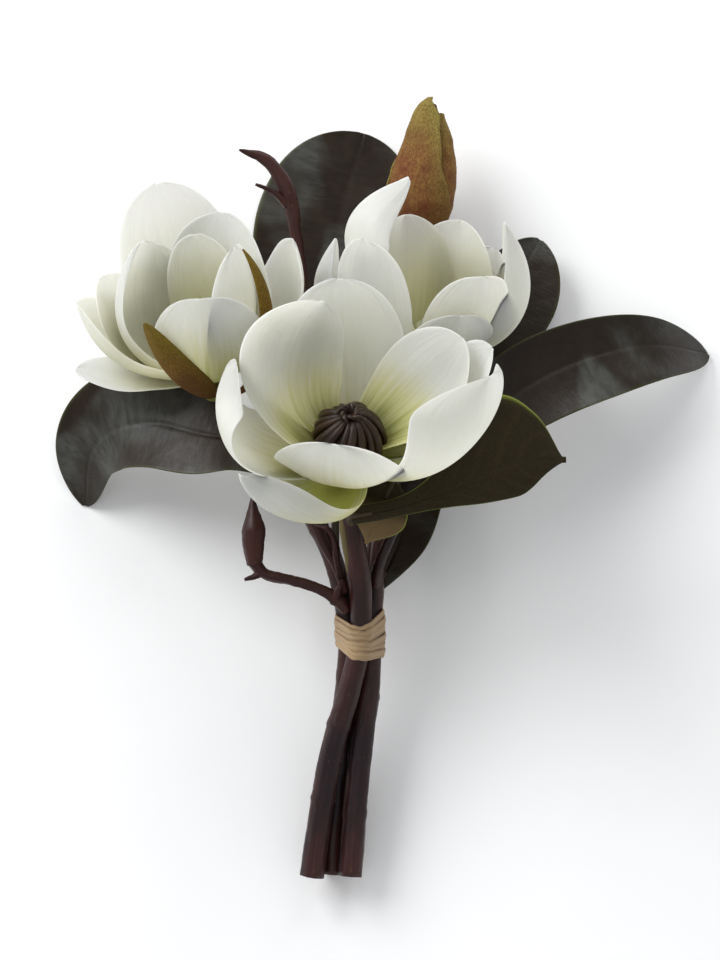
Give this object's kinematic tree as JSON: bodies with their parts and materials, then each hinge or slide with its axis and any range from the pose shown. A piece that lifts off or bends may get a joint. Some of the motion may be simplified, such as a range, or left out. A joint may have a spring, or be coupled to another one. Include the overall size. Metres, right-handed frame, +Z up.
{
  "type": "tied magnolia bunch",
  "caption": "Hand-tied bunch of magnolia: open white blooms, furred bud, leathery leaves and bare twigs on woody stems bound with raffia.",
  "frame": {"origin": "on the table plane, below the middle of the bunch's outline seen from above", "axes": "+Z up from the table the bunch lies on, +Y from the cut stem ends towards the bud, +X to the right as the blooms are looked at"},
  "size_m": [0.3257, 0.3849, 0.1569],
  "materials": {
    "stem": "smooth bark, satin",
    "twig": "rough bark, matte",
    "raffia": "dry raffia, matte",
    "bud_fur": "short fur, matte",
    "seed_cone": "glossy dark brown",
    "young_cone": "soft, matte",
    "petal": "soft satin, slightly translucent",
    "bract": "short fur, matte",
    "leaf": "leathery, semi-gloss",
    "leaf_underside": "leathery, matte felt"
  },
  "bodies": {
    "root": {"stem_front": "stem", "stem_left": "stem", "stem_right": "stem", "twig_top": "twig", "twig_low": "twig", "tie": "raffia", "bud": "bud_fur", "cone_front": "seed_cone", "cone_left": "young_cone", "cone_right": "young_cone", "bloom_front": "petal", "bloom_left": "petal", "bloom_right": "petal", "bract_left_low": "bract", "bract_left_high": "bract", "bract_front": "bract", "leaf_left": "leaf", "leaf_right": "leaf", "leaf_lower_right": "leaf_underside", "leaf_small": "leaf_underside", "leaf_low_back": "leaf", "leaf_upper_right": "leaf", "leaf_back": "leaf"}
  },
  "joints": []
}
